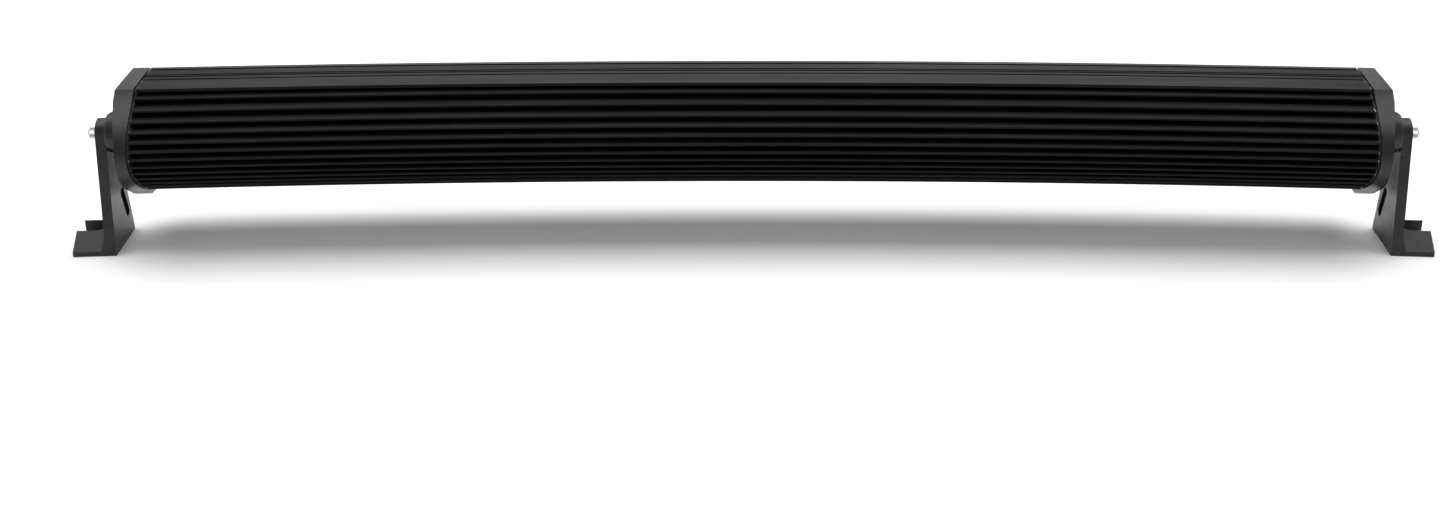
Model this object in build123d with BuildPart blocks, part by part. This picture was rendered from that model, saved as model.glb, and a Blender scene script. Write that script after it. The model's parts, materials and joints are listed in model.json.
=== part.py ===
from build123d import *
import math
import os

# Curved double-row LED light bar, millimetres, lens towards -Y, feet on Z = 0.

# Bar
ARC_RADIUS = 6000.0         # plan radius of the front face
HALF_ARC = 408.5            # housing half length along that arc
DEPTH = 74.0                # bezel front to the rearmost fin tip
BODY_HEIGHT = 72.0          # middle of the bar above the feet
PIVOT_BACK = 41.5           # bolt axis behind the bezel front
PIVOT_UP = 7.8              # bolt axis above the middle of the bar

# Section: x is the distance behind the bezel front, y the height above the bar's middle
FACE_HALF = 38.2            # half height at the front
BAND_FRONT = 6.5
BAND_BACK = 40.6
BAND_BACK_HALF = 37.0
FIN_PITCH = 5.25
FIN_COUNT = 13
FIN_THICK = 2.0
FIN_DEPTH = 13.0
FIN_SPAN = 36.75
TIP_DROP = 39.0
GROOVES = (15.4, 18.2, 23.6)
GROOVE_SIZE = (1.7, 2.2)
LIP_HALF = 36.6             # step that the bezel sits on
LOW_BACK = (33.0, 36.6)
POCKET_HALF = 30.4
POCKET_BACK = 27.0
WALL = 3.0
CAVITY_HALF = 26.0
PORT_BACK = (40.0, -22.0)
PORTS = [(20.9, 33.2), (20.9, -33.2), PORT_BACK]
PORT_RADIUS = 2.05

# Front
BEZEL_DEPTH = 4.5
BEZEL_HALF = 38.4
LENS_FRONT = 3.0
LENS_BACK = 7.5
LENS_HALF = 32.6
SEAT = 9.0
SEAT_HALF = 33.0
BEZEL_SCREWS = 9
BEZEL_SCREW_UP = 35.0
BEZEL_SCREW_END = 20.0

# Light engine
LED_PITCH = 26.8
LED_COLUMNS = 5
MODULES = 6
ROW_HALF = 14.4
CUP_MOUTH = 12.0
CUP_THROAT = 3.6
REFLECTOR_FRONT = 9.4
REFLECTOR_BACK = 24.4
BOARD_FRONT = 25.0
BOARD_BACK = 26.6
BOARD_HALF = 22.5

# Ends
GASKET = 1.0
CAP_LENGTH = 12.0
CAP_FLAT = 48.0             # depth at which the cap's side starts to slope in
CAP_REAR_OUT = 8.0
CAP_POCKET = (24.6, 54.0, 8.5)
BOSS = 5.4
BOSS_RADIUS = 14.3
FRICTION_DISC = 1.5
PLAY = 0.1
ARM_THICK = 6.8
FOOT_REACH = 21.4
FOOT_WIDTH = 43.6
FOOT_PLATE = 3.3
RIDGE = 13.0
SLOT_WIDTH = 9.0
SLOT_START = 10.0           # centre of the slot's round end, outside the arm
ARM_POCKET = (24.0, 7.0)
RECESS_WIDTH = 17.0
ARM_TOP_RADIUS = 9.8
BOLT_RADIUS = 2.5
BOLT_HOLE = 2.55
BOLT_HEAD = (4.25, 5.0)
DISC_RADIUS = 12.6
WASHER = (4.4, 1.0)
INSERT = (5.0, 12.5)
GLAND_BACK = 14.0
GLAND_OUT = 6.8
GLAND_RADIUS = 4.5
SEAL_RADIUS = 3.4
CABLE_RADIUS = 2.6
CAP_LOW = -41.2

# Driver in the rear channel
DRIVER_BACK = 34.0
DRIVER_THICK = 1.6
DRIVER_HALF = (110.0, 18.0)
DRIVER_FIX = (98.0, 14.0)
WIRE_RADIUS = 0.9
WIRE_HOLE_UP = 23.8
LED_WIRE_OUT = 6.0

END = math.degrees(HALF_ARC / ARC_RADIUS)
SAGITTA = ARC_RADIUS * (1 - math.cos(math.radians(END)))
Y_FRONT = -(DEPTH + 1.9 + SAGITTA) / 2
CAP_OUT = GASKET + CAP_LENGTH
BOSS_OUT = CAP_OUT + BOSS
ARM_IN = BOSS_OUT + FRICTION_DISC + PLAY
ARM_OUT = ARM_IN + ARM_THICK
ARC_AXIS = Axis((0, Y_FRONT + ARC_RADIUS, 0), (0, 0, 1))
FLOOR = -BODY_HEIGHT
PIVOT = (PIVOT_BACK, PIVOT_UP)


def station(angle):
    """Point on the front arc, with the directions along the bar and to the back."""
    turn = math.radians(angle)
    along = Vector(math.cos(turn), math.sin(turn), 0)
    back = Vector(-math.sin(turn), math.cos(turn), 0)
    centre = Vector(0, Y_FRONT + ARC_RADIUS, BODY_HEIGHT)
    return centre - back * ARC_RADIUS, along, back


def section_plane(angle, out=0.0):
    """Upright plane across the bar: local x to the back, local y up."""
    origin, along, back = station(angle)
    return Plane(origin=origin + along * out, x_dir=back, z_dir=along)


def front_plane(angle, behind=0.0):
    """Upright plane facing forward: local x along the bar, local y up."""
    origin, along, back = station(angle)
    return Plane(origin=origin + back * behind, x_dir=along, z_dir=back * -1)


def deck_plane(angle, up=0.0):
    """Level plane: local x along the bar, local y to the back."""
    origin, along, back = station(angle)
    return Plane(origin=origin + Vector(0, 0, up), x_dir=along, z_dir=(0, 0, 1))


def fin_tip(height):
    return DEPTH - TIP_DROP * (height / FIN_SPAN) ** 2


def band_height(behind):
    slope = (FACE_HALF - BAND_BACK_HALF) / (BAND_BACK - BAND_FRONT)
    return FACE_HALF - slope * (behind - BAND_FRONT)


def arc_angle(distance):
    return math.degrees(distance / ARC_RADIUS)


def both_sides(upper, lower=None):
    """A closed profile from its upper half, front to back, and the lower or the same half mirrored."""
    return upper + [(x, -y) for x, y in reversed(lower or upper) if y > 0]


def band_edge(back, half):
    """The top or bottom plate of the extrusion, from the bezel to its rear edge."""
    return [
        (BEZEL_DEPTH, LIP_HALF),
        (BAND_FRONT, LIP_HALF),
        (BAND_FRONT, FACE_HALF),
        (back, half),
        (back, half - FIN_THICK),
        (POCKET_BACK + WALL, half - FIN_THICK),
    ]


def column_angle(module, column):
    index = module * LED_COLUMNS + column
    middle = (MODULES * LED_COLUMNS - 1) / 2
    return arc_angle((index - middle) * LED_PITCH)


def module_arc(module, gap):
    width = LED_COLUMNS * LED_PITCH
    start = (module - MODULES / 2) * width + gap / 2
    return arc_angle(start), arc_angle(width - gap)


def build_housing():
    upper = band_edge(BAND_BACK, BAND_BACK_HALF)
    lower = band_edge(*LOW_BACK)
    fin_heights = [FIN_PITCH * i for i in range(FIN_COUNT // 2, -1, -1)]
    root = [(fin_tip(h) - FIN_DEPTH, h) for h in fin_heights]
    inner = [(fin_tip(h) - FIN_DEPTH - WALL, h) for h in (CAVITY_HALF, 21.0, 15.0, 8.0, 0.0)]
    with BuildPart() as housing:
        with BuildSketch(section_plane(-END)):
            with BuildLine():
                Polyline(*both_sides(upper + root, lower + root), close=True)
            make_face()
            for row in range(FIN_COUNT):
                height = FIN_PITCH * (row - FIN_COUNT // 2)
                tip = fin_tip(height)
                length = FIN_DEPTH + WALL
                with Locations((tip - length / 2, height)):
                    SlotOverall(length, FIN_THICK)
            with BuildLine():
                Polyline(*both_sides([
                    (BEZEL_DEPTH - 1, SEAT_HALF),
                    (SEAT, SEAT_HALF),
                    (SEAT, POCKET_HALF),
                    (POCKET_BACK, POCKET_HALF),
                ]), close=True)
            make_face(mode=Mode.SUBTRACT)
            with BuildLine():
                Polyline(*both_sides([(POCKET_BACK + WALL, CAVITY_HALF)] + inner), close=True)
            make_face(mode=Mode.SUBTRACT)
            with Locations(PORT_BACK):
                Circle(PORT_RADIUS + 2.0)
            with Locations(*PORTS):
                Circle(PORT_RADIUS, mode=Mode.SUBTRACT)
            for side in (-1, 1):
                for behind in GROOVES:
                    with Locations((behind, side * band_height(behind))):
                        Rectangle(*GROOVE_SIZE, mode=Mode.SUBTRACT)
        revolve(axis=ARC_AXIS, revolution_arc=2 * END)
        for side in (-1, 1):
            with Locations(*bezel_screw_planes(BEZEL_DEPTH, side)):
                Cylinder(1.5, 14, mode=Mode.SUBTRACT)
        with Locations(*board_screw_planes(POCKET_BACK + WALL / 2)):
            Cylinder(1.5, WALL + 2, mode=Mode.SUBTRACT)
        with Locations(*wire_hole_planes()):
            Cylinder(1.8, WALL + 2, mode=Mode.SUBTRACT)
        with Locations(*driver_screw_planes(POCKET_BACK + WALL)):
            Cylinder(1.5, 8, mode=Mode.SUBTRACT)
    return housing


def lifted(plane, height, along=0.0):
    """The same plane with its origin moved in its own local directions."""
    return Plane(
        origin=plane.from_local_coords((along, height, 0)),
        x_dir=plane.x_dir,
        z_dir=plane.z_dir,
    )


def bezel_screw_planes(behind, side):
    span = 2 * (HALF_ARC - BEZEL_SCREW_END)
    angles = [arc_angle(-span / 2 + span * i / (BEZEL_SCREWS - 1)) for i in range(BEZEL_SCREWS)]
    return [lifted(front_plane(angle, behind), side * BEZEL_SCREW_UP) for angle in angles]


def board_screw_planes(behind, modules=range(MODULES)):
    return [
        front_plane(column_angle(module, column), behind)
        for module in modules
        for column in (0.5, 3.5)
    ]


def wire_hole_planes():
    return [
        lifted(front_plane(arc_angle(distance), POCKET_BACK + WALL / 2), WIRE_HOLE_UP)
        for distance in (-LED_WIRE_OUT, LED_WIRE_OUT)
    ]


def driver_plane(behind):
    """Flat upright plane through the middle of the bar, facing forward."""
    return front_plane(0, behind)


def driver_screw_planes(behind):
    return [
        lifted(driver_plane(behind), z, x)
        for x in (-DRIVER_FIX[0], DRIVER_FIX[0])
        for z in (-DRIVER_FIX[1], DRIVER_FIX[1])
    ]


def build_bezel(side):
    with BuildPart() as bezel:
        with BuildSketch(section_plane(-END)):
            with BuildLine():
                Polyline(
                    (0, side * 30.6),
                    (0, side * (BEZEL_HALF - 0.6)),
                    (0.6, side * BEZEL_HALF),
                    (BEZEL_DEPTH, side * BEZEL_HALF),
                    (BEZEL_DEPTH, side * 33.1),
                    (LENS_FRONT, side * 33.1),
                    (LENS_FRONT, side * 29.6),
                    (1.0, side * 29.6),
                    close=True,
                )
            make_face()
        revolve(axis=ARC_AXIS, revolution_arc=2 * END)
        with Locations(*bezel_screw_planes(0, side)):
            CounterSinkHole(1.5, 2.5, depth=BEZEL_DEPTH + 1)
    return bezel


def build_bezel_screws(side):
    with BuildPart() as screws:
        with Locations(*bezel_screw_planes(0, side)):
            Cone(1.5, 2.4, 0.9, align=(Align.CENTER, Align.CENTER, Align.MAX))
            Cylinder(1.5, 11.0, align=(Align.CENTER, Align.CENTER, Align.MAX))
        with BuildSketch(*bezel_screw_planes(0, side)):
            RegularPolygon(1.1, 6)
        extrude(amount=-0.8, mode=Mode.SUBTRACT)
    return screws


def build_lens():
    with BuildPart() as lens:
        with BuildSketch(section_plane(-END)) as profile:
            with Locations(((LENS_FRONT + LENS_BACK) / 2, 0)):
                Rectangle(LENS_BACK - LENS_FRONT, 2 * LENS_HALF)
            fillet(profile.vertices(), 0.6)
        revolve(axis=ARC_AXIS, revolution_arc=2 * END)
    return lens


def build_lens_gasket():
    trim = arc_angle(3.0)
    with BuildPart() as gasket:
        with BuildSketch(section_plane(-END)):
            with Locations(((LENS_BACK + SEAT) / 2, 0)):
                Rectangle(SEAT - LENS_BACK, 2 * LENS_HALF)
        revolve(axis=ARC_AXIS, revolution_arc=2 * END)
        with BuildSketch(section_plane(-END + trim)):
            with Locations(((LENS_BACK + SEAT) / 2, 0)):
                Rectangle(SEAT - LENS_BACK + 2, 2 * POCKET_HALF)
        revolve(axis=ARC_AXIS, revolution_arc=2 * (END - trim), mode=Mode.SUBTRACT)
    return gasket


def build_reflector(module):
    start, arc = module_arc(module, 0.8)
    front = REFLECTOR_FRONT + 0.3
    middle = (front + REFLECTOR_BACK) / 2
    bulge = (CUP_MOUTH + CUP_THROAT) / 2 + 1.0
    with BuildPart() as reflector:
        with BuildSketch(section_plane(start)):
            with Locations((REFLECTOR_FRONT + 1.0, 0)):
                Rectangle(2.0, 2 * POCKET_HALF - 1.6)
        revolve(axis=ARC_AXIS, revolution_arc=arc)
        for column in range(LED_COLUMNS):
            angle = column_angle(module, column)
            for row in (-ROW_HALF, ROW_HALF):
                with BuildSketch(lifted(front_plane(angle, REFLECTOR_FRONT - 1), row)):
                    Circle(CUP_MOUTH + 0.2)
                extrude(amount=-4, mode=Mode.SUBTRACT)
                with BuildSketch(section_plane(angle)):
                    with BuildLine():
                        Line((front, row + CUP_MOUTH + 0.8), (front, row + CUP_MOUTH))
                        ThreePointArc(
                            (front, row + CUP_MOUTH),
                            (middle, row + bulge),
                            (REFLECTOR_BACK, row + CUP_THROAT),
                        )
                        Line((REFLECTOR_BACK, row + CUP_THROAT), (REFLECTOR_BACK, row + CUP_THROAT + 1))
                        ThreePointArc(
                            (REFLECTOR_BACK, row + CUP_THROAT + 1),
                            (middle, row + bulge + 0.9),
                            (front, row + CUP_MOUTH + 0.8),
                        )
                    make_face()
                _, _, back = station(angle)
                centre = lifted(front_plane(angle), row).origin
                revolve(axis=Axis(centre, back))
    return reflector


def build_led_board(module):
    start, arc = module_arc(module, 0.8)
    with BuildPart() as board:
        with BuildSketch(section_plane(start)):
            with Locations(((BOARD_FRONT + BOARD_BACK) / 2, 0)):
                Rectangle(BOARD_BACK - BOARD_FRONT, 2 * BOARD_HALF)
        revolve(axis=ARC_AXIS, revolution_arc=arc)
        with Locations(*board_screw_planes(BOARD_BACK, [module])):
            Cylinder(1.6, 6, mode=Mode.SUBTRACT)
    return board


def build_thermal_pad():
    with BuildPart() as pad:
        with BuildSketch(section_plane(-END + arc_angle(8))):
            with Locations(((BOARD_BACK + POCKET_BACK) / 2, 0)):
                Rectangle(POCKET_BACK - BOARD_BACK, 2 * BOARD_HALF)
        revolve(axis=ARC_AXIS, revolution_arc=2 * END - arc_angle(16))
        with Locations(*board_screw_planes(POCKET_BACK)):
            Cylinder(1.6, 4, mode=Mode.SUBTRACT)
    return pad


def build_led_emitters():
    planes = [
        lifted(front_plane(column_angle(module, column), BOARD_FRONT), side * ROW_HALF)
        for module in range(MODULES)
        for column in range(LED_COLUMNS)
        for side in (-1, 1)
    ]
    with BuildPart() as emitters:
        with BuildSketch(*planes):
            Rectangle(3.5, 3.5)
        extrude(amount=0.9)
        with BuildSketch(*[plane.offset(0.9) for plane in planes]):
            Circle(1.3)
        extrude(amount=0.6, taper=30)
    return emitters


def build_board_screws():
    low = (Align.CENTER, Align.CENTER, Align.MIN)
    high = (Align.CENTER, Align.CENTER, Align.MAX)
    with BuildPart() as screws:
        with Locations(*board_screw_planes(BOARD_FRONT)):
            Cylinder(2.75, 1.8, align=low)
            Cylinder(1.5, 4.8, align=high)
    return screws


def build_driver_board():
    with BuildPart() as board:
        with BuildSketch(driver_plane(DRIVER_BACK + DRIVER_THICK)) as outline:
            Rectangle(2 * DRIVER_HALF[0], 2 * DRIVER_HALF[1])
            fillet(outline.vertices(), 2)
            for x in (-DRIVER_FIX[0], DRIVER_FIX[0]):
                with Locations((x, -DRIVER_FIX[1]), (x, DRIVER_FIX[1])):
                    Circle(1.6, mode=Mode.SUBTRACT)
        extrude(amount=DRIVER_THICK)
    return board


def build_driver_spacers():
    with BuildPart() as spacers:
        with BuildSketch(*driver_screw_planes(DRIVER_BACK)):
            Circle(3.0)
            Circle(1.6, mode=Mode.SUBTRACT)
        extrude(amount=2.9)
    return spacers


def build_driver_screws():
    with BuildPart() as screws:
        with BuildSketch(*driver_screw_planes(DRIVER_BACK + DRIVER_THICK)):
            Circle(2.75)
        extrude(amount=-1.8)
        with BuildSketch(*driver_screw_planes(DRIVER_BACK + DRIVER_THICK)):
            Circle(1.5)
        extrude(amount=6.5)
    return screws


def build_driver_blocks(places, size, height):
    """Rectangular components standing on the back of the driver board."""
    with BuildPart() as blocks:
        with BuildSketch(driver_plane(DRIVER_BACK + DRIVER_THICK)):
            with Locations(*places):
                RectangleRounded(size[0], size[1], 0.8)
        extrude(amount=-height)
    return blocks


def build_driver_capacitors():
    with BuildPart() as cans:
        with BuildSketch(driver_plane(DRIVER_BACK + DRIVER_THICK)):
            with GridLocations(24, 0, 4, 1):
                Circle(5.0)
        extrude(amount=-12)
        chamfer(cans.faces().sort_by(Axis.Y)[-4:].edges(), 0.6)
    return cans


def spot(distance, behind, height):
    """A point in the bar: distance along it, behind the front, above the middle."""
    return section_plane(arc_angle(distance)).from_local_coords((behind, height, 0))


def end_spot(out, behind, height):
    """The same at the right end, with the distance counted outwards from the housing."""
    return section_plane(END, out).from_local_coords((behind, height, 0))


def build_wire(points):
    """A round insulated wire with rounded corners through the given points."""
    with BuildPart() as wire:
        with BuildLine() as path:
            FilletPolyline(*points, radius=2.2)
        with BuildSketch(Plane(origin=path.line @ 0, z_dir=path.line % 0)):
            Circle(WIRE_RADIUS)
        sweep()
    return wire


def build_supply_wire(side):
    shift = 1.15 * side
    return build_wire([
        end_spot(GLAND_OUT + shift, GLAND_BACK, -31.0),
        end_spot(GLAND_OUT + shift, GLAND_BACK, shift * 2 - 4.0),
        end_spot(GLAND_OUT + shift, 32.2, shift * 2 - 4.0),
        spot(120.0, 32.2, shift * 2 - 4.0),
        spot(114.0, 39.5, shift * 2 - 4.0),
        spot(93.5, 39.5, shift * 2 - 2.0),
    ])


def build_led_wire(distance):
    return build_wire([
        spot(distance, DRIVER_BACK + DRIVER_THICK / 2, DRIVER_HALF[1] + 0.1),
        spot(distance, DRIVER_BACK + DRIVER_THICK / 2, WIRE_HOLE_UP),
        spot(distance, BOARD_FRONT - 1.1, WIRE_HOLE_UP),
        spot(distance, BOARD_FRONT - 1.1, 20.0),
    ])


def build_end_gasket():
    with BuildPart() as gasket:
        with BuildSketch(section_plane(END)):
            with BuildLine():
                rear = [(fin_tip(h) - 1.0, h) for h in (22.0, 11.0, 0.0, -11.0, -22.0)]
                Polyline((LENS_BACK, -36.0), (LENS_BACK, 36.0), (36.0, 34.6))
                Spline((36.0, 34.6), *rear, (32.0, -34.6))
                Line((32.0, -34.6), (LENS_BACK, -36.0))
            make_face()
            with Locations((21.3, 0)):
                Rectangle(24.6, 55.0, mode=Mode.SUBTRACT)
            with Locations(*PORTS):
                Circle(2.2, mode=Mode.SUBTRACT)
        extrude(amount=GASKET)
    return gasket


def build_end_cap():
    reach = CAP_OUT
    rear = [(fin_tip(h) + 1.4, h) for h in (24.0, 12.0, 0.0, -12.0, -24.0)]
    top_back = (BAND_BACK + 0.6, 37.4)
    low_back = (36.0, -38.4)
    with BuildPart() as cap:
        with BuildSketch(section_plane(END, GASKET)):
            with BuildLine():
                Polyline(
                    (5.0, CAP_LOW),
                    (0.0, -37.6),
                    (0.0, 37.4),
                    (1.6, BEZEL_HALF + 0.4),
                    (BAND_FRONT, BEZEL_HALF + 0.4),
                    top_back,
                )
                Spline(top_back, *rear, low_back)
                Polyline(low_back, (31.5, CAP_LOW), (5.0, CAP_LOW))
            make_face()
        extrude(amount=CAP_LENGTH)
        with BuildSketch(deck_plane(END, -60)) as plan:
            with BuildLine():
                Polyline((0, -2), (reach, -2), (reach, CAP_FLAT), (CAP_REAR_OUT, 77), (0, 77), close=True)
            make_face()
            fillet(plan.vertices().group_by(Axis.X)[-1].sort_by(Axis.Y)[0], 2)
            fillet(plan.vertices().group_by(Axis.Y)[-1].sort_by(Axis.X)[-1], 2)
        extrude(amount=120, mode=Mode.INTERSECT)
        with BuildSketch(front_plane(END, -5)) as face:
            with Locations((reach / 2, -1.2)):
                Rectangle(reach, 80.0)
            fillet(face.vertices().group_by(Axis.X)[-1], 2)
        extrude(amount=-90, mode=Mode.INTERSECT)
        with BuildSketch(section_plane(END, GASKET)):
            with Locations((21.3, 0)):
                Rectangle(CAP_POCKET[0], CAP_POCKET[1])
        extrude(amount=CAP_POCKET[2], mode=Mode.SUBTRACT)
        with BuildSketch(section_plane(END, CAP_OUT)):
            with Locations(PIVOT):
                Circle(BOSS_RADIUS)
        extrude(amount=BOSS, taper=8)
        with BuildSketch(section_plane(END, BOSS_OUT)):
            with Locations(PIVOT):
                Circle(INSERT[0])
        extrude(amount=-INSERT[1], mode=Mode.SUBTRACT)
        with BuildSketch(section_plane(END, CAP_OUT)):
            with Locations(*PORTS):
                Circle(4.0)
        extrude(amount=-3.4, mode=Mode.SUBTRACT)
        with BuildSketch(section_plane(END, CAP_OUT)):
            with Locations(*PORTS):
                Circle(2.1)
        extrude(amount=-CAP_LENGTH, mode=Mode.SUBTRACT)
        with BuildSketch(deck_plane(END, CAP_LOW - 3)):
            with Locations((GLAND_OUT, GLAND_BACK)):
                Circle(GLAND_RADIUS)
        extrude(amount=20, mode=Mode.SUBTRACT)
    return cap


def build_cap_screws():
    with BuildPart() as screws:
        with BuildSketch(section_plane(END, CAP_OUT - 0.4)):
            with Locations(*PORTS):
                Circle(3.7)
        extrude(amount=-3.0)
        with BuildSketch(section_plane(END, CAP_OUT - 3.0)):
            with Locations(*PORTS):
                Circle(2.0)
        extrude(amount=-24.0)
        with BuildSketch(section_plane(END, CAP_OUT - 0.4)):
            with Locations(*PORTS):
                RegularPolygon(1.7, 6)
        extrude(amount=-1.6, mode=Mode.SUBTRACT)
    return screws


def build_pivot_insert():
    with BuildPart() as insert:
        with BuildSketch(section_plane(END, BOSS_OUT)):
            with Locations(PIVOT):
                Circle(INSERT[0])
                Circle(BOLT_RADIUS, mode=Mode.SUBTRACT)
        extrude(amount=-INSERT[1])
    return insert


def build_ring(inner, outer, start, thickness):
    """A flat ring on the bolt axis."""
    with BuildPart() as ring:
        with BuildSketch(section_plane(END, start)):
            with Locations(PIVOT):
                Circle(outer)
                Circle(inner, mode=Mode.SUBTRACT)
        extrude(amount=thickness)
    return ring


def build_pivot_bolt():
    seat = ARM_OUT + PLAY + WASHER[1]
    with BuildPart() as bolt:
        with BuildSketch(section_plane(END, seat)):
            with Locations(PIVOT):
                Circle(BOLT_HEAD[0])
        extrude(amount=BOLT_HEAD[1])
        chamfer(bolt.faces().sort_by(Axis.X)[-1].edges(), 0.5)
        with BuildSketch(section_plane(END, seat + BOLT_HEAD[1])):
            with Locations(PIVOT):
                RegularPolygon(2.3, 6)
        extrude(amount=-2.6, mode=Mode.SUBTRACT)
        with BuildSketch(section_plane(END, seat)):
            with Locations(PIVOT):
                Circle(BOLT_RADIUS)
        extrude(amount=-(seat - BOSS_OUT + INSERT[1] - 1.0))
    return bolt


def build_bracket():
    middle = PIVOT_BACK
    half = FOOT_WIDTH / 2
    with BuildPart() as bracket:
        with BuildSketch(section_plane(END, ARM_IN)):
            with Locations(PIVOT):
                Circle(ARM_TOP_RADIUS)
            with Locations((middle, FLOOR + FOOT_PLATE / 2)):
                Rectangle(FOOT_WIDTH, FOOT_PLATE)
            make_hull()
        extrude(amount=ARM_THICK)
        with BuildSketch(section_plane(END, ARM_OUT)):
            with BuildLine():
                Polyline(
                    (middle - half, FLOOR),
                    (middle - half, FLOOR + FOOT_PLATE),
                    (middle - RECESS_WIDTH / 2, FLOOR + RIDGE),
                    (middle + RECESS_WIDTH / 2, FLOOR + RIDGE),
                    (middle + half, FLOOR + FOOT_PLATE),
                    (middle + half, FLOOR),
                    close=True,
                )
            make_face()
        extrude(amount=FOOT_REACH)
        corner = section_plane(END, ARM_OUT)
        inside = bracket.edges().filter_by(GeomType.LINE).filter_by(
            lambda e: abs(corner.to_local_coords(e.center()).Z) < 0.1
            and FOOT_PLATE < e.center().Z < RIDGE + 1
        )
        fillet(inside, 3.5)
        for width, top in ((RECESS_WIDTH, FOOT_PLATE), (SLOT_WIDTH, -1.0)):
            with BuildSketch(deck_plane(END, FLOOR + top)):
                with Locations((ARM_OUT + SLOT_START, middle)):
                    Circle(width / 2)
                with Locations((ARM_OUT + SLOT_START, middle)):
                    Rectangle(FOOT_REACH, width, align=(Align.MIN, Align.CENTER))
            extrude(amount=20, mode=Mode.SUBTRACT)
        with BuildSketch(section_plane(END, ARM_IN)):
            with Locations(PIVOT):
                Circle(BOLT_HOLE)
            with Locations(Location((middle - 9.6, -46.4), (0, 0, 72))):
                SlotOverall(*ARM_POCKET)
        extrude(amount=2.0, mode=Mode.SUBTRACT)
        with BuildSketch(section_plane(END, ARM_IN)):
            with Locations(PIVOT):
                Circle(BOLT_HOLE)
        extrude(amount=ARM_THICK, mode=Mode.SUBTRACT)
    return bracket


def build_gland_body():
    """Low-profile hollow plug through the underside of an end cap."""
    with BuildPart() as plug:
        with BuildSketch(deck_plane(END, CAP_LOW)):
            with Locations((GLAND_OUT, GLAND_BACK)):
                RegularPolygon(7.0, 6)
        extrude(amount=-2.4)
        with BuildSketch(deck_plane(END, CAP_LOW)):
            with Locations((GLAND_OUT, GLAND_BACK)):
                Circle(GLAND_RADIUS)
        extrude(amount=17.0)
        with BuildSketch(deck_plane(END, CAP_LOW - 2.4)):
            with Locations((GLAND_OUT, GLAND_BACK)):
                Circle(SEAL_RADIUS)
        extrude(amount=30, mode=Mode.SUBTRACT)
    return plug


def build_gland_seal():
    with BuildPart() as seal:
        with BuildSketch(deck_plane(END, CAP_LOW - 3.6)):
            with Locations((GLAND_OUT, GLAND_BACK)):
                Circle(4.4)
        extrude(amount=1.2)
        with BuildSketch(deck_plane(END, CAP_LOW - 2.4)):
            with Locations((GLAND_OUT, GLAND_BACK)):
                Circle(SEAL_RADIUS)
        extrude(amount=12)
        with BuildSketch(deck_plane(END, CAP_LOW - 5)):
            with Locations((GLAND_OUT, GLAND_BACK)):
                Circle(CABLE_RADIUS)
        extrude(amount=20, mode=Mode.SUBTRACT)
    return seal


def build_vent():
    with BuildPart() as vent:
        with BuildSketch(deck_plane(END, CAP_LOW)):
            with Locations((GLAND_OUT, GLAND_BACK)):
                Circle(6.0)
        extrude(amount=-2.0)
        chamfer(vent.faces().sort_by(Axis.Z)[0].edges(), 0.6)
        with BuildSketch(deck_plane(END, CAP_LOW)):
            with Locations((GLAND_OUT, GLAND_BACK)):
                Circle(GLAND_RADIUS)
        extrude(amount=14.5)
    return vent


def flipped(piece):
    """The mirror image of a right-hand piece, for the left end."""
    with BuildPart() as copy:
        add(piece.part)
        mirror(about=Plane.YZ, mode=Mode.REPLACE)
    return copy


pieces = {
    "housing": build_housing(),
    "bezel_top": build_bezel(1),
    "bezel_bottom": build_bezel(-1),
    "bezel_screws_top": build_bezel_screws(1),
    "bezel_screws_bottom": build_bezel_screws(-1),
    "lens": build_lens(),
    "lens_gasket": build_lens_gasket(),
    "led_emitters": build_led_emitters(),
    "thermal_pad": build_thermal_pad(),
    "board_screws": build_board_screws(),
    "driver_board": build_driver_board(),
    "driver_spacers": build_driver_spacers(),
    "driver_screws": build_driver_screws(),
    "driver_capacitors": build_driver_capacitors(),
    "driver_inductors": build_driver_blocks([(-66, 2), (66, 2)], (16, 16), 10.5),
    "driver_chips": build_driver_blocks([(x, 12.5) for x in (-48, -16, 16, 48)], (9, 6.5), 2.4),
    "driver_terminal": build_driver_blocks([(88, 0)], (9, 14), 8.0),
}
for module in range(MODULES):
    pieces[f"reflector_{module + 1}"] = build_reflector(module)
    pieces[f"led_board_{module + 1}"] = build_led_board(module)

right_pieces = {
    "end_gasket": build_end_gasket(),
    "end_cap": build_end_cap(),
    "end_cap_screws": build_cap_screws(),
    "pivot_insert": build_pivot_insert(),
    "friction_disc": build_ring(BOLT_HOLE, DISC_RADIUS, BOSS_OUT, FRICTION_DISC),
    "spring_washer": build_ring(BOLT_HOLE, WASHER[0], ARM_OUT + PLAY, WASHER[1]),
    "pivot_bolt": build_pivot_bolt(),
    "bracket": build_bracket(),
}
for name, piece in right_pieces.items():
    pieces[f"{name}_right"] = piece
    pieces[f"{name}_left"] = flipped(piece)

for name, side in (("positive", 1), ("negative", -1)):
    pieces[f"supply_wire_{name}"] = build_supply_wire(side)
    pieces[f"led_wire_{name}"] = build_led_wire(LED_WIRE_OUT * side)

pieces["cable_gland"] = build_gland_body()
pieces["gland_seal"] = build_gland_seal()
pieces["breather_vent"] = flipped(build_vent())

os.makedirs("parts", exist_ok=True)
for name, piece in pieces.items():
    piece.part.label = name
    export_step(piece.part, f"parts/{name}.step")
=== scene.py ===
import bpy
import json
import math
from mathutils import Matrix, Vector


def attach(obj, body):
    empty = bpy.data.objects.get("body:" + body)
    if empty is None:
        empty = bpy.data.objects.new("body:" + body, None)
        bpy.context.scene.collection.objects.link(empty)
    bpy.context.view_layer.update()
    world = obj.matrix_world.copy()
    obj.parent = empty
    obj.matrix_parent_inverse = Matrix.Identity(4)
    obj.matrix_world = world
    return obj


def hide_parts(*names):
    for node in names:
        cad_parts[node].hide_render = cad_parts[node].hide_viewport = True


# Curved LED light bar, metres, CAD frame: lens towards -Y, feet on Z = 0.

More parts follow.
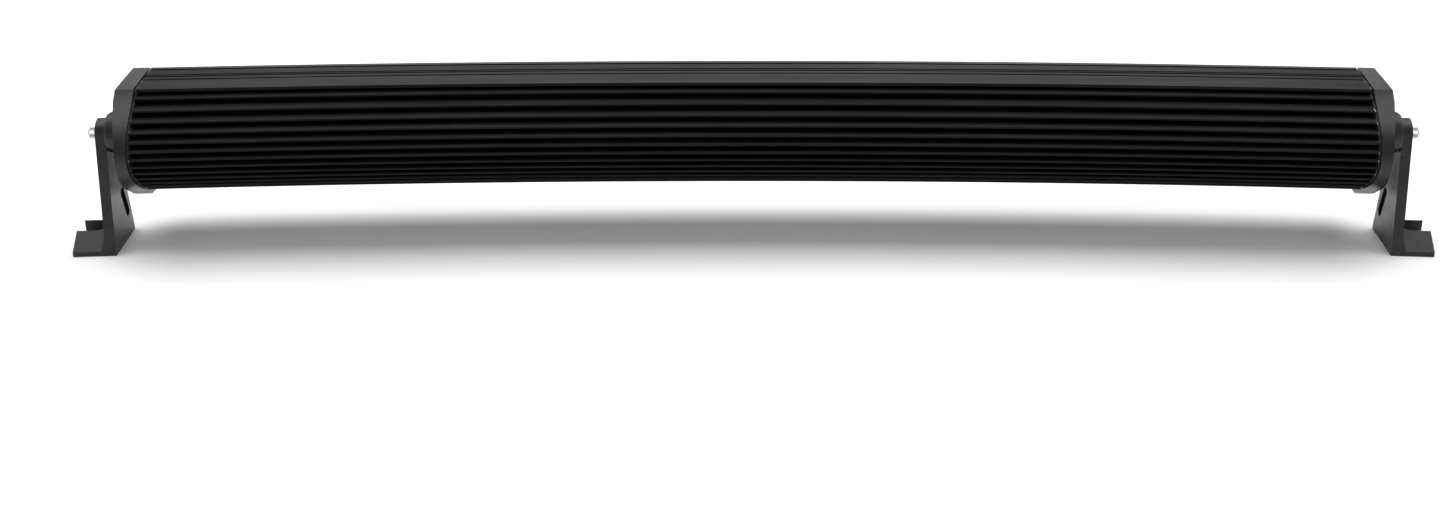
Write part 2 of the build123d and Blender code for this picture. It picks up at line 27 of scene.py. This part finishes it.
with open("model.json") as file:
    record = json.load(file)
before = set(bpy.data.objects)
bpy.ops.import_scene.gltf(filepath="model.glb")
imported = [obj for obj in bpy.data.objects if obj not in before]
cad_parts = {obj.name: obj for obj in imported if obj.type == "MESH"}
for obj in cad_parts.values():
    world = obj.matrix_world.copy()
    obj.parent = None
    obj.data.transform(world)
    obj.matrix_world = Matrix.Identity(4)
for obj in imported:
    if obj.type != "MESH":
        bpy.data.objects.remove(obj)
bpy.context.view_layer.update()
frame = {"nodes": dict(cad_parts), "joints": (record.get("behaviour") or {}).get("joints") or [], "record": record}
nodes = frame["nodes"]
record = frame["record"]
slot_of = {part["node"]: part["material_slot"] for part in record["subparts"]}


# Camera, behind and above the bar. The image is 1445 wide, and lengths in it are in its own units.

IMAGE_WIDTH = 1445.0
FOCAL_LENGTH = 1646.0
IMAGE_SHIFT = (-31.25, -143.0)
SENSOR_WIDTH = 36.0
CAMERA_PLACE = (0.0, 1.0229, 0.4793)
CAMERA_DOWN = math.radians(20.8)


def make_camera():
    data = bpy.data.cameras.new("camera")
    data.sensor_width = SENSOR_WIDTH
    data.lens = FOCAL_LENGTH / IMAGE_WIDTH * SENSOR_WIDTH
    data.shift_x, data.shift_y = (offset / IMAGE_WIDTH for offset in IMAGE_SHIFT)
    data.clip_start = 0.01
    camera = bpy.data.objects.new("camera", data)
    camera.location = CAMERA_PLACE
    camera.rotation_euler = (math.pi / 2 - CAMERA_DOWN, 0.0, math.pi)
    bpy.context.scene.collection.objects.link(camera)
    bpy.context.scene.camera = camera


make_camera()


# Procedural materials

MIX_FIRST, MIX_SECOND, MIX_RESULT = 6, 7, 2    # the colour sockets of a Mix node
CUT_END_GLINT = (0.0009, 0.0004)                     # where the painted glint on the bare metal at a cut end starts and is full


class Surface:
    """A node material whose textures are laid out in metres in the row frame."""

    def __init__(self, name, metallic=0.0, **values):
        self.material = bpy.data.materials.new(name)
        self.material.use_nodes = True
        self.tree = self.material.node_tree
        self.shader = self.tree.nodes["Principled BSDF"]
        self.shader.inputs["Metallic"].default_value = metallic
        for socket, value in values.items():
            self.shader.inputs[socket.replace("_", " ")].default_value = value
        self.coords = self.node("ShaderNodeTexCoord").outputs["Object"]
        self.height = None

    def node(self, kind, **settings):
        made = self.tree.nodes.new(kind)
        for key, value in settings.items():
            setattr(made, key, value)
        return made

    def link(self, output, target):
        self.tree.links.new(output, target)

    def stretched(self, scale):
        mapping = self.node("ShaderNodeMapping")
        mapping.inputs["Scale"].default_value = scale
        self.link(self.coords, mapping.inputs["Vector"])
        return mapping.outputs["Vector"]

    def noise(self, scale, detail=3.0, roughness=0.55, stretch=(1, 1, 1)):
        texture = self.node("ShaderNodeTexNoise")
        texture.inputs["Scale"].default_value = scale
        texture.inputs["Detail"].default_value = detail
        texture.inputs["Roughness"].default_value = roughness
        self.link(self.stretched(stretch), texture.inputs["Vector"])
        return texture.outputs["Fac"]

    def cells(self, scale, feature="F1", stretch=(1, 1, 1)):
        texture = self.node("ShaderNodeTexVoronoi", feature=feature)
        texture.inputs["Scale"].default_value = scale
        self.link(self.stretched(stretch), texture.inputs["Vector"])
        return texture.outputs["Distance"]

    def ramp(self, factor, *stops):
        ramp = self.node("ShaderNodeValToRGB")
        elements = ramp.color_ramp.elements
        while len(elements) < len(stops):
            elements.new(0.5)
        for element, (place, colour) in zip(elements, stops):
            element.position = place
            element.color = (*colour, 1.0)
        self.link(factor, ramp.inputs["Fac"])
        return ramp.outputs["Color"]

    def level(self, factor, low, high, start=0.0, end=1.0):
        ranged = self.node("ShaderNodeMapRange")
        ranged.inputs["From Min"].default_value = start
        ranged.inputs["From Max"].default_value = end
        ranged.inputs["To Min"].default_value = low
        ranged.inputs["To Max"].default_value = high
        self.link(factor, ranged.inputs["Value"])
        return ranged.outputs["Result"]

    def mix(self, factor, first, second):
        mix = self.node("ShaderNodeMix", data_type="RGBA")
        self.link(factor, mix.inputs["Factor"])
        self.link(first, mix.inputs[MIX_FIRST])
        if isinstance(second, tuple):
            mix.inputs[MIX_SECOND].default_value = (*second, 1.0)
        else:
            self.link(second, mix.inputs[MIX_SECOND])
        return mix.outputs[MIX_RESULT]

    def cut_end_glints(self):
        """Painted glints on the bare metal of the cut ends: 1 in patches on the last millimetre of the extrusion,
        0 elsewhere.
        """
        normal, reach = end_normal()
        split = self.node("ShaderNodeSeparateXYZ")
        self.link(self.coords, split.inputs[0])
        side = self.node("ShaderNodeMath", operation="ABSOLUTE")
        self.link(split.outputs["X"], side.inputs[0])
        folded = self.node("ShaderNodeCombineXYZ")
        self.link(side.outputs["Value"], folded.inputs["X"])
        self.link(split.outputs["Y"], folded.inputs["Y"])
        along = self.node("ShaderNodeVectorMath", operation="DOT_PRODUCT")
        along.inputs[1].default_value = normal
        self.link(folded.outputs["Vector"], along.inputs[0])
        start, full = (reach - distance for distance in CUT_END_GLINT)
        edge = self.level(along.outputs["Value"], 0.0, 1.0, start, full)
        patches = self.level(self.noise(330.0, 2.0), 0.0, 1.0, 0.52, 0.62)
        both = self.node("ShaderNodeMath", operation="MULTIPLY")
        self.link(edge, both.inputs[0])
        self.link(patches, both.inputs[1])
        return both.outputs["Value"]

    def colour(self, output):
        self.link(output, self.shader.inputs["Base Color"])
        return self

    def rough(self, output):
        self.link(output, self.shader.inputs["Roughness"])
        return self

    def bump(self, height, distance, strength=1.0):
        bump = self.node("ShaderNodeBump")
        bump.inputs["Strength"].default_value = strength
        bump.inputs["Distance"].default_value = distance
        self.link(height, bump.inputs["Height"])
        if self.height:
            self.link(self.height, bump.inputs["Normal"])
        self.height = bump.outputs["Normal"]
        self.link(self.height, self.shader.inputs["Normal"])
        return self


def grey(value, warm=0.0):
    return (value * (1 + warm), value, value * (1 - warm))


def end_normal():
    """The direction out of the right-hand end, and the housing's furthest reach along it."""
    axis = Vector(frame["joints"][0]["axis"])
    normal = Vector((abs(axis.x), abs(axis.y), 0.0)).normalized()
    corners = nodes["housing"].data.vertices
    return normal, max(Vector((abs(v.co.x), v.co.y, 0.0)).dot(normal) for v in corners)


def extruded(name, low, high, rough_low, rough_high, specular):
    """Anodised extrusion: draw lines, blast grain, faint dust, rubbed streaks and painted glints on the bare metal
    of the cut ends.
    """
    s = Surface(name, Specular_IOR_Level=specular)
    tone = s.noise(9.0, 4.0, stretch=(0.25, 6, 6))
    lines = s.noise(240.0, 2.0, stretch=(0.02, 4, 4))
    grain = s.noise(2600.0, 2.0)
    base = s.ramp(tone, (0.3, grey(low, -0.02)), (0.7, grey(high, -0.02)))
    dust = s.level(s.noise(38.0, 5.0, 0.7, stretch=(0.5, 1, 1)), 0.0, 0.4, 0.56, 0.8)
    base = s.mix(dust, base, grey(high * 2.2, 0.04))
    rubs = s.level(s.noise(300.0, 3.0, stretch=(0.04, 1, 1)), 0.0, 0.35, 0.63, 0.74)
    base = s.mix(rubs, base, grey(high * 2.6))
    # pale grey painted glints on the bare metal of the cut ends
    s.colour(s.mix(s.cut_end_glints(), base, grey(0.30)))
    s.rough(s.level(s.noise(60.0, 4.0, stretch=(0.1, 2, 2)), rough_low, rough_high, 0.3, 0.7))
    return s.bump(lines, 0.00012, 0.7).bump(grain, 0.00006, 0.6).material


def powder_coat(name, low, high, rough_low, rough_high, specular):
    """Powder coat on a casting: orange peel, fine speckle, a few lighter scuffs."""
    s = Surface(name, Specular_IOR_Level=specular)
    tone = s.noise(34.0, 5.0, 0.62)
    peel = s.noise(1300.0, 2.0, 0.5)
    speckle = s.cells(1900.0)
    base = s.ramp(tone, (0.3, grey(low, 0.01)), (0.7, grey(high, 0.01)))
    base = s.mix(s.level(speckle, 0.35, 0.0, 0.05, 0.4), base, grey(high * 1.7, 0.02))
    scuffs = s.level(s.noise(420.0, 4.0, 0.6, stretch=(1, 0.12, 1)), 0.0, 0.5, 0.66, 0.76)
    s.colour(s.mix(scuffs, base, grey(high * 2.2, 0.05)))
    s.rough(s.level(s.noise(90.0, 3.0), rough_low, rough_high, 0.3, 0.7))
    return s.bump(peel, 0.00022, 0.9).bump(s.noise(4200.0, 1.0), 0.00004, 0.6).material


def brushed_metal(name, low, high, rough_low, rough_high, tint=(1, 1, 1), stretch=(1, 8, 8)):
    """Turned or brushed metal with fine tool lines and a slight stain."""
    s = Surface(name, metallic=1.0)
    tone = s.noise(160.0, 4.0)
    shade = [tuple(value * t for t in tint) for value in (low, high)]
    base = s.ramp(tone, (0.3, shade[0]), (0.7, shade[1]))
    stain = s.level(s.noise(420.0, 5.0, 0.65), 0.0, 0.5, 0.58, 0.75)
    s.colour(s.mix(stain, base, tuple(0.45 * value for value in shade[0])))
    s.rough(s.level(s.noise(500.0, 3.0, stretch=stretch), rough_low, rough_high, 0.3, 0.7))
    return s.bump(s.noise(1400.0, 2.0, stretch=stretch), 0.00003, 0.5).material


def moulded(name, low, high, rough_low, rough_high, fine=1500.0, depth=0.00004, **values):
    """Moulded plastic or rubber: soft tone change, fine grain, patchy sheen."""
    s = Surface(name, **values)
    base = s.ramp(s.noise(70.0, 4.0), (0.3, low), (0.7, high))
    marks = s.level(s.noise(520.0, 4.0, 0.65, stretch=(1, 0.2, 1)), 0.0, 0.3, 0.62, 0.75)
    pale = tuple(min(1.0, value * 1.5 + 0.02) for value in high)
    s.colour(s.mix(marks, base, pale))
    s.rough(s.level(s.noise(150.0, 3.0), rough_low, rough_high, 0.3, 0.7))
    return s.bump(s.noise(fine, 2.0), depth, 0.7).material


def clear_lens():
    """Polycarbonate window: faint blue-grey tint, wipe marks and fine scratches."""
    s = Surface("polycarbonate_clear", Transmission_Weight=1.0, IOR=1.52)
    s.colour(s.ramp(s.noise(6.0, 3.0), (0.3, (0.93, 0.95, 0.96)), (0.7, (0.97, 0.98, 0.98))))
    s.rough(s.level(s.noise(30.0, 5.0, 0.65, stretch=(0.3, 1, 1)), 0.015, 0.09, 0.4, 0.8))
    scratches = s.noise(700.0, 3.0, 0.6, stretch=(0.05, 1, 1))
    return s.bump(scratches, 0.000004, 0.3).material


def mirror_plastic():
    """Vacuum-metallised cups: bright, slightly wavy, a few dull patches."""
    s = Surface("metallised_plastic", metallic=1.0)
    s.colour(s.ramp(s.noise(60.0, 3.0), (0.3, (0.60, 0.61, 0.62)), (0.7, (0.72, 0.72, 0.71))))
    s.rough(s.level(s.noise(110.0, 4.0), 0.08, 0.20, 0.35, 0.75))
    return s.bump(s.noise(260.0, 2.0), 0.00004, 0.35).material


def solder_mask(name, low, high):
    """Circuit board face: glossy mask with faint buried tracks."""
    s = Surface(name)
    base = s.ramp(s.noise(50.0, 3.0), (0.3, low), (0.7, high))
    tracks = s.level(s.cells(230.0, "DISTANCE_TO_EDGE"), 0.28, 0.0, 0.03, 0.06)
    dark = tuple(0.72 * value for value in low)
    s.colour(s.mix(tracks, base, dark))
    s.rough(s.level(s.noise(200.0, 3.0), 0.28, 0.45, 0.3, 0.7))
    return s.bump(tracks, 0.00004, 0.6).material


def phosphor():
    """Yellow phosphor with a mottled surface under its clear dome."""
    s = Surface("led_phosphor", Coat_Weight=0.7, Coat_Roughness=0.08)
    s.colour(s.ramp(s.noise(1400.0, 3.0), (0.3, (0.82, 0.62, 0.09)), (0.7, (0.95, 0.8, 0.22))))
    s.rough(s.level(s.noise(900.0, 2.0), 0.3, 0.5, 0.3, 0.7))
    return s.bump(s.noise(2400.0, 2.0), 0.00003, 0.5).material


materials = {
    "black_anodised": extruded("anodised_extrusion", 0.007, 0.012, 0.46, 0.60, 0.10),
    "black_bezel": extruded("anodised_bezel", 0.010, 0.016, 0.42, 0.54, 0.22),
    "black_cast": powder_coat("powder_coated_casting", 0.006, 0.019, 0.24, 0.36, 0.32),
    "stainless": brushed_metal("stainless_steel", 0.58, 0.74, 0.16, 0.34, (1.0, 0.985, 0.95)),
    "black_screw": brushed_metal("black_oxide", 0.05, 0.085, 0.30, 0.48),
    "clear_lens": clear_lens(),
    "mirror_plastic": mirror_plastic(),
    "white_board": solder_mask("white_solder_mask", (0.66, 0.67, 0.66), (0.76, 0.77, 0.75)),
    "phosphor": phosphor(),
    "grey_pad": moulded("thermal_sheet", (0.30, 0.33, 0.36), (0.40, 0.43, 0.46), 0.6, 0.8),
    "green_board": solder_mask("green_solder_mask", (0.02, 0.12, 0.05), (0.04, 0.19, 0.08)),
    "component_black": moulded("moulded_epoxy", grey(0.012), grey(0.022), 0.45, 0.65),
    "can_metal": brushed_metal("can_aluminium", 0.42, 0.60, 0.25, 0.40),
    "ferrite": moulded("ferrite_block", grey(0.05, 0.03), grey(0.08, 0.03), 0.6, 0.85, 900.0, 0.0001),
    "terminal_green": moulded("terminal_plastic", (0.02, 0.20, 0.07), (0.05, 0.30, 0.11), 0.25, 0.4),
    "black_rubber": moulded("silicone_rubber", grey(0.010), grey(0.018), 0.6, 0.82, 700.0, 0.00006),
    "nylon_black": moulded("black_nylon", grey(0.016), grey(0.028), 0.38, 0.55),
    "brass_spacer": brushed_metal("turned_brass", 0.70, 0.86, 0.2, 0.35, (0.98, 0.74, 0.36)),
    "wire_red": moulded("red_insulation", (0.30, 0.012, 0.012), (0.44, 0.02, 0.02), 0.3, 0.45),
    "wire_black": moulded("black_insulation", grey(0.014), grey(0.024), 0.32, 0.48),
}
for name, node in nodes.items():
    node.data.materials.clear()
    node.data.materials.append(materials[slot_of[name]])


# Floor and light

FLOOR_RADIUS = 14.0
FLOOR_SIDES = 64
WORLD_TONE = (0.97, 0.98, 1.0, 1.0)
WORLD_STRENGTH = 0.42


def make_floor():
    mesh = bpy.data.meshes.new("floor")
    turns = [2 * math.pi * i / FLOOR_SIDES for i in range(FLOOR_SIDES)]
    rim = [(FLOOR_RADIUS * math.cos(t), FLOOR_RADIUS * math.sin(t), 0.0) for t in turns]
    mesh.from_pydata(rim, [], [list(range(FLOOR_SIDES))])
    floor = bpy.data.objects.new("floor", mesh)
    bpy.context.scene.collection.objects.link(floor)
    s = Surface("floor_paper", Specular_IOR_Level=0.1)
    s.colour(s.ramp(s.noise(5.0, 3.0), (0.3, grey(0.90)), (0.7, grey(0.92))))
    s.rough(s.level(s.noise(20.0, 2.0), 0.85, 0.95))
    s.bump(s.noise(900.0, 2.0), 0.00004, 0.3)
    mesh.materials.append(s.material)


def make_light(name, location, target, size, power):
    data = bpy.data.lights.new(name, "AREA")
    data.shape = "RECTANGLE"
    data.size, data.size_y = size
    data.energy = power
    light = bpy.data.objects.new(name, data)
    light.location = location
    direction = Vector(target) - Vector(location)
    light.rotation_euler = direction.to_track_quat("-Z", "Y").to_euler()
    bpy.context.scene.collection.objects.link(light)


def make_world():
    world = bpy.data.worlds.new("studio")
    world.use_nodes = True
    background = world.node_tree.nodes["Background"]
    background.inputs["Color"].default_value = WORLD_TONE
    background.inputs["Strength"].default_value = WORLD_STRENGTH
    bpy.context.scene.world = world


make_floor()
make_world()
make_light("overhead", (0.0, -0.35, 1.7), (0.0, 0.0, 0.0), (3.4, 1.8), 51.0)
for name, side in (("right_side", 1), ("left_side", -1)):
    make_light(name, (side * 2.1, 0.5, 0.9), (side * 0.4, 0.0, 0.08), (1.0, 1.2), 5.0)
make_light("front_fill", (0.0, -2.4, 1.1), (0.0, 0.0, 0.07), (2.6, 1.0), 14.0)
bpy.context.scene.view_settings.view_transform = "Standard"


# A small edge break on the castings, so that their edges catch the light

WELD_DISTANCE = 0.000004
SHARP_ANGLE = math.radians(32.0)
BRACKET_BREAK = 0.0005
CAP_BREAK = 0.0004


def break_edges(node, width):
    weld = node.modifiers.new("weld", "WELD")
    weld.merge_threshold = WELD_DISTANCE
    bevel = node.modifiers.new("edge_break", "BEVEL")
    bevel.width = width
    bevel.segments = 2
    bevel.limit_method = "ANGLE"
    bevel.angle_limit = SHARP_ANGLE
    bevel.miter_outer = "MITER_ARC"
    normals = node.modifiers.new("face_normals", "WEIGHTED_NORMAL")
    normals.keep_sharp = True


for side in ("left", "right"):
    break_edges(nodes["bracket_" + side], BRACKET_BREAK)
    break_edges(nodes["end_cap_" + side], CAP_BREAK)


# Pivot bolts: socket head cap screws with a knurled head and a threaded shank

HEAD_LENGTH = 0.005
HEAD_RADIUS = 0.00415
SHANK_RADIUS = 0.00248
THREAD_CORE = 0.00215
THREAD_STEP = 0.0004          # half of the drawn pitch: crest and core take turns
POINT_RADIUS = 0.0017
POINT_LENGTH = 0.0006
KNURLS = 48
KNURL_DEPTH = 0.022           # as a share of the head radius
SIDES = 192


def ring(radius, along, shape=None):
    """One closed ring of points round the bolt axis, in the bolt's own frame."""
    points = []
    for i in range(SIDES):
        turn = 2 * math.pi * i / SIDES
        reach = radius * (shape(turn) if shape else 1.0)
        points.append((along, reach * math.cos(turn), reach * math.sin(turn)))
    return points


def knurl(turn):
    return 1.0 + KNURL_DEPTH * math.cos(KNURLS * turn)


def hexagon(turn):
    return 1.0 / math.cos((turn + math.pi / 6) % (math.pi / 3) - math.pi / 6)


def lathe(name, rings, place):
    """A closed mesh through the rings, capped at both ends."""
    points = [place @ Vector(point) for one in rings for point in one]
    faces = [list(range(SIDES))[::-1], [len(points) - SIDES + i for i in range(SIDES)]]
    for row in range(len(rings) - 1):
        for i in range(SIDES):
            a, b = row * SIDES + i, row * SIDES + (i + 1) % SIDES
            faces.append([a, b, b + SIDES, a + SIDES])
    mesh = bpy.data.meshes.new(name)
    mesh.from_pydata([tuple(point) for point in points], [], faces)
    mesh.update()
    piece = bpy.data.objects.new(name, mesh)
    bpy.context.scene.collection.objects.link(piece)
    return piece


def make_pivot_bolt(side, joint):
    node = nodes["pivot_bolt_" + side]
    axis = Vector(joint["axis"]).normalized()
    if axis.x * joint["pos_m"][0] < 0:
        axis = -axis
    origin = Vector(joint["pos_m"])
    across = Vector((0, 0, 1)).cross(axis).normalized()
    up = axis.cross(across)
    place = Matrix.Translation(origin) @ Matrix((axis, across, up)).transposed().to_4x4()
    reach = [(vertex.co - origin).dot(axis) for vertex in node.data.vertices]
    tip, end = min(reach), max(reach)
    seat = end - HEAD_LENGTH
    rings = [ring(POINT_RADIUS, tip)]
    for step in range(int((seat - tip - 0.002) / THREAD_STEP)):
        radius = SHANK_RADIUS if step % 2 else THREAD_CORE
        rings.append(ring(radius, tip + POINT_LENGTH + THREAD_STEP * step))
    rings += [
        ring(SHANK_RADIUS, seat - 0.0006),
        ring(SHANK_RADIUS, seat),
        ring(0.00400, seat),
        ring(HEAD_RADIUS, seat + 0.00015),
        ring(HEAD_RADIUS, seat + 0.00035, knurl),
        ring(HEAD_RADIUS, seat + 0.00395, knurl),
        ring(0.00412, seat + 0.00415),
        ring(0.00405, seat + 0.0045),
        ring(0.00355, end),
        ring(0.00225, end, hexagon),
        ring(0.00205, end - 0.0002, hexagon),
        ring(0.00200, end - 0.0026, hexagon),
        ring(0.00030, end - 0.0032),
    ]
    piece = lathe("socket_screw_" + side, rings, place)
    piece.data.materials.append(materials["stainless"])
    for polygon in piece.data.polygons:
        polygon.use_smooth = False
    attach(piece, "lamp")
    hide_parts(node.name)


for joint in frame["joints"]:
    make_pivot_bolt("left" if "left" in joint["name"] else "right", joint)
